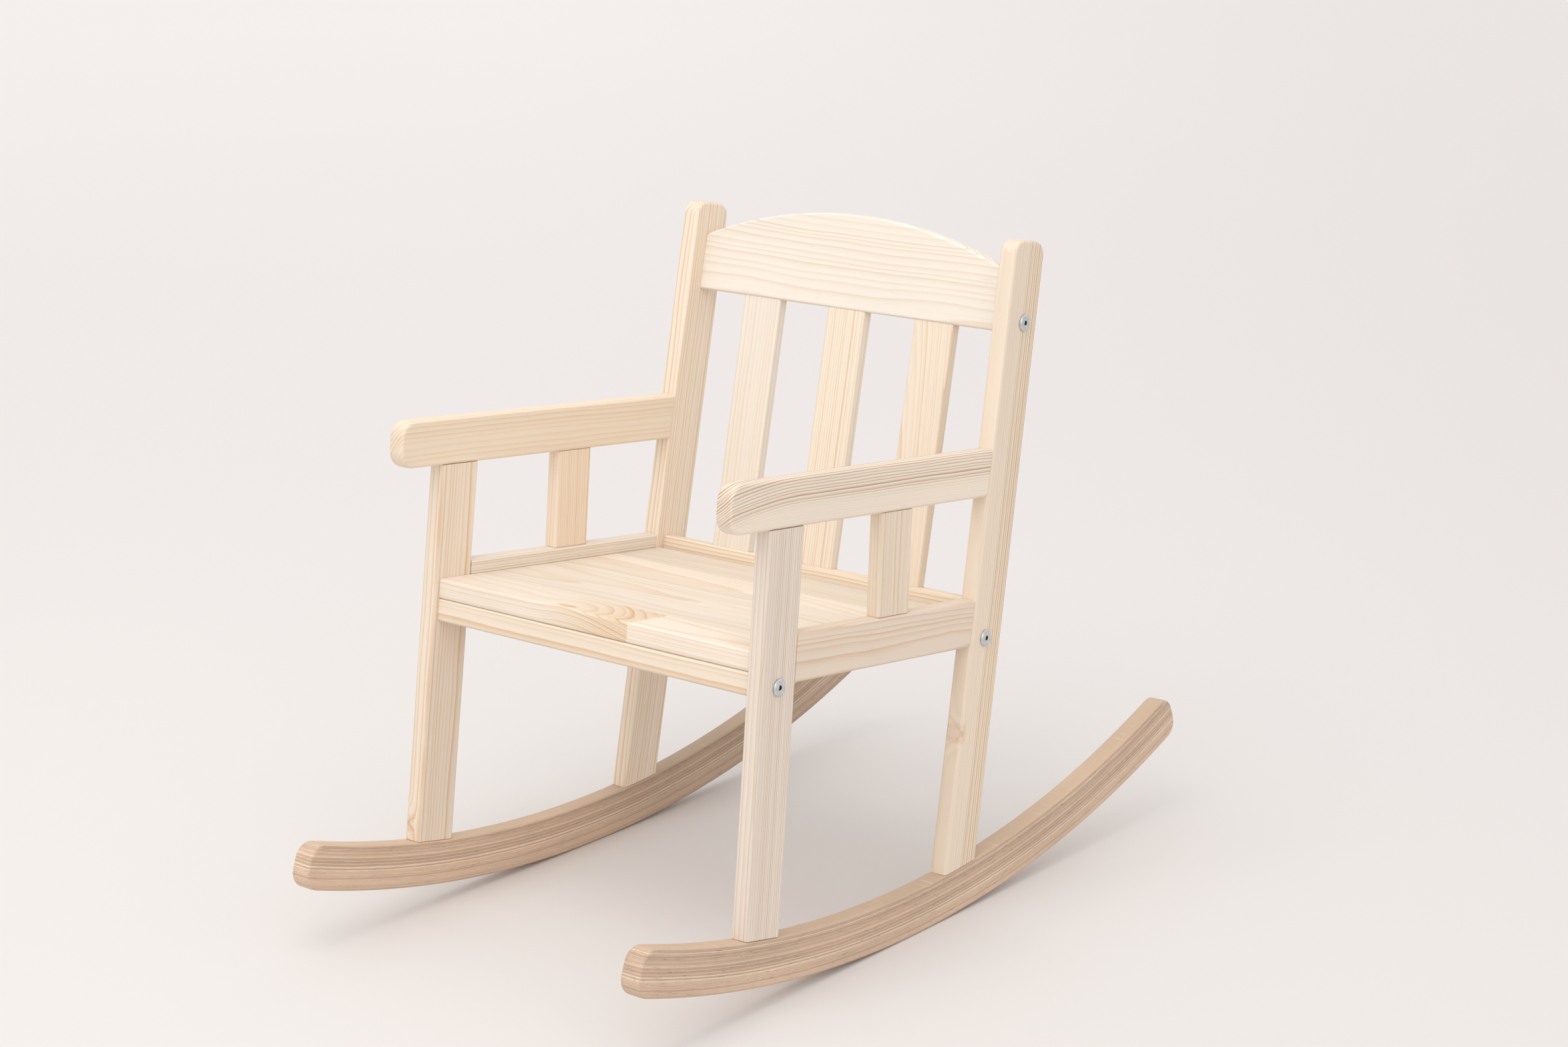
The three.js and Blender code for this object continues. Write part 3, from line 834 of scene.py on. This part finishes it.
def bent_ply(name, seed, front_tone, rear_tone_and_painted_shade):
    """Laminated rocker: thin veneers that follow the arc, seen edge-on from the sides. The colour
    goes from the front tone at the front to the rear tone at the rear; a rear tone below the front
    tone is painted shade, for the seat's shadow on the rocker's rear."""
    material, g, shader = new_material(f"ply_{name}")
    x, y, z = g.split(g.object_point())
    mean_radius = 1127.0  # of the arc, so that `along` is in millimetres
    along = g.math("MULTIPLY", g.math("ARCTAN2", y, g.math("MULTIPLY", z, -1.0)), mean_radius)
    depth = g.math("SUBTRACT", g.length(y, z), ROCKER["inner_radius"] / MM)
    at = g.vector("ADD", g.join(x, depth, along), (seed * 37.0, seed * 91.0, seed * 713.0))

    # Veneers of uneven thickness, a little wavy; every few glue lines is a bold one.
    wavy = g.math("MULTIPLY_ADD", g.noise(at, (0.04, 0.04, 0.009), 2.0), 1.6, depth)
    thick = g.noise(g.join(g.math("MULTIPLY", wavy, 0.22), seed, 0.0), (1, 1, 1), 1.0)
    ply = g.math("MULTIPLY_ADD", thick, 2.6, g.math("DIVIDE", wavy, 1.45))
    index = g.math("FLOOR", ply)
    part = g.math("FRACT", ply)
    shade = g.random(g.math("ADD", index, seed))
    bold = g.ramp(g.random(g.math("ADD", index, seed + 70.0)), 0.45, 0.95, 0.12, 1.0)
    layer = g.join(g.math("MULTIPLY", x, 0.2), g.math("MULTIPLY_ADD", index, 7.3, seed),
                   g.math("MULTIPLY", along, 0.011))
    streak = g.noise(layer, (1, 1, 1), 3.0, 0.6)
    fibre = g.noise(at, (1.2, 2.4, 0.05), 3.0, 0.65)
    dash = g.noise(at, (0.5, 1.7, 0.05), 3.0, 0.6)
    mottle = g.noise(at, (0.5, 1.1, 0.09), 4.0, 0.7)
    fleck = g.ramp(g.noise(at, (0.6, 2.0, 0.10), 1.0), 0.19, 0.27)
    patch = g.noise(at, (0.03, 0.06, 0.008), 2.0)

    tan, brown = (0.665, 0.485, 0.355), (0.43, 0.295, 0.21)
    grey, pale = (0.47, 0.39, 0.32), (0.80, 0.64, 0.50)
    color = g.mix(g.ramp(shade, 0.3, 1.0, 0.0, 0.7), tan, brown)
    color = g.mix(g.math("MULTIPLY", g.ramp(shade, 0.06, 0.16, 1.0, 0.0), 0.6), color, pale)
    color = g.mix(g.ramp(streak, 0.03, 0.32, 0.0, 0.8), color, grey)
    glue = g.ramp(g.math("ABSOLUTE", g.math("SUBTRACT", part, 0.5)), 0.33, 0.48)
    glue = g.math("MULTIPLY", g.math("MULTIPLY", glue, bold), g.ramp(dash, -0.16, 0.12))
    color = g.mix(g.math("MULTIPLY", glue, 0.78), color, (0.20, 0.12, 0.075))

    # The veneer that faces up or down shows its own face grain.
    _, up_y, up_z = g.split(g.node("ShaderNodeTexCoord").outputs["Normal"])
    face = g.ramp(g.length(up_y, up_z), 0.55, 0.9)
    from_middle = g.math("ABSOLUTE", g.math("SUBTRACT", along, 153.0))  # the ends are at 403
    tip = g.math("GREATER_THAN", from_middle, 396.5)
    face = g.math("MULTIPLY", face, g.math("SUBTRACT", 1.0, tip))
    face_color = g.mix(g.ramp(fibre, -0.3, 0.3), (0.665, 0.50, 0.365), (0.575, 0.415, 0.29))
    color = g.mix(face, color, face_color)
    side = g.math("SUBTRACT", 1.0, face)
    # Painted shade: where the rear tone is lower, the rocker darkens towards its rear, for the seat's
    # shadow.
    tone = g.ramp(along, 60.0, 260.0, front_tone, rear_tone_and_painted_shade)
    tone = g.math("MULTIPLY_ADD", fibre, 0.24, tone)
    tone = g.math("MULTIPLY_ADD", g.math("MULTIPLY", fleck, side), -0.6, tone)
    tone = g.math("MULTIPLY_ADD", patch, 0.3, tone)
    tone = g.math("MULTIPLY_ADD", g.math("MULTIPLY", mottle, side), 0.3, tone)
    color = g.shade(color, tone)

    # Pale scratches across the upper face.
    scratch = g.ramp(g.noise(at, (0.03, 0.03, 0.9), 0.0), 0.3, 0.33)
    scratch = g.math("MULTIPLY", g.math("MULTIPLY", scratch, face), 0.45)
    color = g.mix(scratch, color, (0.82, 0.72, 0.62))

    g.put(shader.inputs["Base Color"], color)
    g.put(shader.inputs["Roughness"], g.math("MULTIPLY_ADD", fibre, 0.15, 0.6))
    height = g.math("MULTIPLY_ADD", glue, -0.6, fibre)
    height = g.math("MULTIPLY_ADD", fleck, -0.8, height)
    g.put(shader.inputs["Normal"], bump(g, height, 0.5, 0.0002))
    shader.inputs["Specular IOR Level"].default_value = 0.35
    return material


def beech_dowel():
    material, g, shader = new_material("beech_dowel")
    pore = g.noise(g.object_point(), (0.9, 0.9, 0.9), 3.0, 0.6)
    color = g.mix(g.ramp(pore, -0.3, 0.3), (0.68, 0.5, 0.32), (0.55, 0.37, 0.21))
    g.put(shader.inputs["Base Color"], color)
    g.put(shader.inputs["Roughness"], g.math("MULTIPLY_ADD", pore, 0.2, 0.65))
    g.put(shader.inputs["Normal"], bump(g, pore, 0.3, 0.0001))
    return material


def zinc_plate():
    """Bright zinc plating: faintly cloudy, with fine turning marks and handling scratches."""
    material, g, shader = new_material("zinc_plate")
    at = g.object_point()
    x, y, z = g.split(at)
    radius = g.length(y, z)
    marks = g.noise(g.join(g.math("MULTIPLY", radius, 9.0), x, 0.0), (1, 1, 1), 2.0)
    cloud = g.noise(at, (0.35, 0.35, 0.35), 3.0)
    scratch = g.noise(at, (0.6, 5.0, 0.5), 2.0)
    color = g.mix(g.ramp(cloud, -0.25, 0.25), (0.56, 0.59, 0.62), (0.70, 0.72, 0.74))
    below_face = (BOLT["height"] + FIT) / MM - 0.35
    # Painted shade: the inside of the hex socket is coloured near black, for the shade in the recess.
    socket = g.math("MULTIPLY", g.math("LESS_THAN", radius, 2.6),
                    g.math("LESS_THAN", g.math("ABSOLUTE", x), below_face))
    g.put(shader.inputs["Base Color"], g.mix(socket, color, (0.035, 0.035, 0.04)))
    rough = g.math("MULTIPLY_ADD", cloud, 0.18, 0.3)
    g.put(shader.inputs["Roughness"], g.math("MULTIPLY_ADD", scratch, 0.1, rough))
    g.put(shader.inputs["Normal"], bump(g, marks, 0.12, 0.00005))
    shader.inputs["Metallic"].default_value = 1.0
    return material


# ---- Which board is which ------------------------------------------------------------------------

# Grain, seed, pith, ring width, warp, contrast and tint of each board, then what is special to it.
# The pith is given across the grain, in millimetres of the piece's own frame: for uprights (x, y),
# for boards along X (y, z) and along Y (x, z). The grain of a "z_turned" board swaps x and y.
BOARDS = {
    "left_front_leg": ("z", 1.3, (46, -70), 2.2, 5, 1.3, (0.91, 0.92, 0.98),
                       {"late": (0.57, 0.41, 0.28)}),
    "right_front_leg": ("z_turned", 2.7, (52, -40), 2.4, 5, 1.0, (0.96, 0.95, 0.97),
                        {"knot_y": -5, "knot_z": -240, "knot_size": 3.2}),
    "left_back_post": ("z", 3.6, (34, 150), 3.0, 4, 2.2, (0.94, 0.92, 0.92),
                       {"late": (0.58, 0.36, 0.18), "plain_to": 20, "lined_from": 32,
                        "knot_y": 2, "knot_z": -121, "knot_size": 3.4}),
    "right_back_post": ("z", 4.9, (-44, 80), 2.5, 6, 1.1, (0.99, 0.98, 1.0), {}),
    "left_armrest": ("y", 5.3, (-62, 66), 2.0, 3, 1.8, (0.99, 0.99, 1.02),
                     {"late": (0.47, 0.31, 0.19), "plain_to": -27, "lined_from": -14,
                      "bend": 10, "bend_from": 50}),
    "right_armrest": ("y", 6.1, (60, -64), 3.0, 6, 0.6, (0.97, 0.95, 0.93), {}),
    "left_side_rail": ("y", 7.7, (-46, -38), 2.7, 8, 0.75, (0.90, 0.87, 0.88), {"tilt": 2.5}),
    "right_side_rail": ("y", 8.2, (40, -60), 2.2, 7, 1.0, (0.97, 0.99, 1.05),
                        {"late": (0.56, 0.42, 0.29)}),
    "left_arm_baluster": ("z", 9.4, (-50, 50), 2.2, 5, 0.7, (0.92, 0.90, 0.90), {}),
    "right_arm_baluster": ("z", 10.6, (50, -50), 2.2, 6, 1.0, (1.0, 0.97, 0.96), {}),
    "front_rail": ("x", 11.2, (-34, -70), 4.2, 4, 0.95, (0.96, 0.95, 0.96), {}),
    "back_rail": ("x", 12.8, (60, -60), 3.2, 8, 1.0, (0.99, 0.99, 1.0), {}),
    "crest_rail": ("x", 13.5, (62, 236), 4.2, 12, 0.6, (0.97, 1.03, 1.13), {"tilt": 1.5}),
    "back_slat_right": ("z", 14.1, (-60, 70), 2.8, 4, 0.5, (0.95, 0.99, 1.07), {}),
    "back_slat_middle": ("z", 15.9, (62, 24), 2.6, 3, 0.95, (0.98, 1.0, 1.04), {}),
    "back_slat_left": ("z", 16.4, (-26, 34), 2.2, 4, 0.65, (0.95, 0.95, 0.97), {"tilt": -4}),
}

materials = {name: pine(name, *numbers, **special) for name, (*numbers, special) in BOARDS.items()}
materials["seat_panel"] = pine_panel("seat_panel", 17.6, (0.94, 0.95, 0.99))
materials["left_rocker"] = bent_ply("left", 2.0, 0.95, 0.95)
# The right rocker darkens towards its rear: painted shade for the seat's shadow on it.
materials["right_rocker"] = bent_ply("right", 5.0, 1.04, 0.78)
zinc = zinc_plate()
beech = beech_dowel()
for side_name, side_sign in SIDES.items():
    build_side(side_name, side_sign, materials)
build_cross_members(materials)
build_bolts(zinc)
for node_name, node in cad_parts.items():
    if node.hide_render:
        continue
    node.data.materials.clear()
    node.data.materials.append(zinc if "nut" in node_name else beech)


# ---- Floor, light and camera ---------------------------------------------------------------------

LAMP = (1.0, 0.985, 0.965)  # colour of the studio lights


def build_floor():
    """A level sheet of pale paper that runs far past the picture. Painted light: it greys a little to
    the right and lightens with distance, standing in for light that falls off away from the lamps.
    """
    reach = 40.0
    bm = bmesh.new()
    bm.faces.new([bm.verts.new((x, y, 0.0)) for x, y in ((-reach, -reach), (reach, -reach),
                                                         (reach, reach), (-reach, reach))])
    mesh = bpy.data.meshes.new("studio_floor")
    bm.to_mesh(mesh)
    bm.free()
    floor = bpy.data.objects.new("studio_floor", mesh)
    bpy.context.scene.collection.objects.link(floor)
    floor.rotation_euler.z = 39 * DEG
    material, g, shader = new_material("studio_paper")
    at = g.node("ShaderNodeTexCoord").outputs["Object"]
    across, depth, _ = g.split(at)
    cloud = g.noise(at, (0.5, 0.5, 0.5), 2.0)
    # Painted light: greyer towards the right, for light that comes more from the left.
    paper = g.mix(g.ramp(across, -1.0, 2.6), (0.765, 0.735, 0.72), (0.69, 0.665, 0.655))
    # Painted light: lighter with distance, making up for the lamps lighting the floor near the chair
    # more; the cloud is the paper's own mottling.
    tone = g.math("MULTIPLY_ADD", cloud, 0.02, g.ramp(depth, -2.0, 9.0, 0.97, 1.06))
    g.put(shader.inputs["Base Color"], g.shade(paper, tone))
    shader.inputs["Roughness"].default_value = 0.9
    shader.inputs["Specular IOR Level"].default_value = 0.1
    floor.data.materials.append(material)


def aim(obj, location, target):
    """Adds an object to the scene, looking at the target."""
    obj.location = location
    obj.rotation_euler = (Vector(target) - Vector(location)).to_track_quat("-Z", "Y").to_euler()
    bpy.context.scene.collection.objects.link(obj)


def add_sky(name, direction, spread, strength):
    """A broad, even light from one direction."""
    light = bpy.data.lights.new(name, "SUN")
    light.energy = strength
    light.angle = spread
    light.color = LAMP
    aim(bpy.data.objects.new(name, light), direction, (0, 0, 0))


def build_light():
    """A white dome, broad lights from high in front and low on the right, and a softbox near the
    top of the chair."""
    world = bpy.data.worlds.new("studio")
    world.use_nodes = True
    g = Graph(world.node_tree)
    background = world.node_tree.nodes["Background"]
    _, _, height = g.split(g.node("ShaderNodeTexCoord").outputs["Generated"])
    g.put(background.inputs["Color"], (1.0, 0.99, 0.985))
    g.put(background.inputs["Strength"], g.ramp(height, 0.0, 1.0, 0.83, 1.0, smooth=False))
    bpy.context.scene.world = world
    add_sky("front", (0.15, -1.5, 2.0), 50 * DEG, 0.50)
    add_sky("right", (1.7, -1.3, 1.2), 55 * DEG, 0.36)

    softbox = bpy.data.lights.new("softbox", "AREA")
    softbox.shape = "DISK"
    softbox.size = 1.2
    softbox.energy = 6
    softbox.color = LAMP
    aim(bpy.data.objects.new("softbox", softbox), (0.1, -0.8, 1.9), (0, 0.1, 0.4))


def build_camera():
    """From the sitter's front left, looking down a little on the seat."""
    azimuth, elevation, roll = 39.03 * DEG, 14.67 * DEG, -0.32 * DEG
    distance = 2.885
    look_at = Vector((0.0129, 0.0232, 0.3377))
    level = math.cos(elevation)
    away = Vector((math.sin(azimuth) * level, -math.cos(azimuth) * level, math.sin(elevation)))
    data = bpy.data.cameras.new("camera")
    data.sensor_width = 36.0
    data.lens = 72.685
    data.clip_end = 100.0
    camera = bpy.data.objects.new("camera", data)
    rotation = away.to_track_quat("Z", "Y").to_matrix().to_4x4() @ turn(roll, "Z")
    camera.matrix_world = Matrix.Translation(look_at + away * distance) @ rotation
    bpy.context.scene.collection.objects.link(camera)
    bpy.context.scene.camera = camera


build_floor()
build_light()
build_camera()
view = bpy.context.scene.view_settings
view.view_transform = "Standard"
view.look = "None"
view.exposure = 0.0
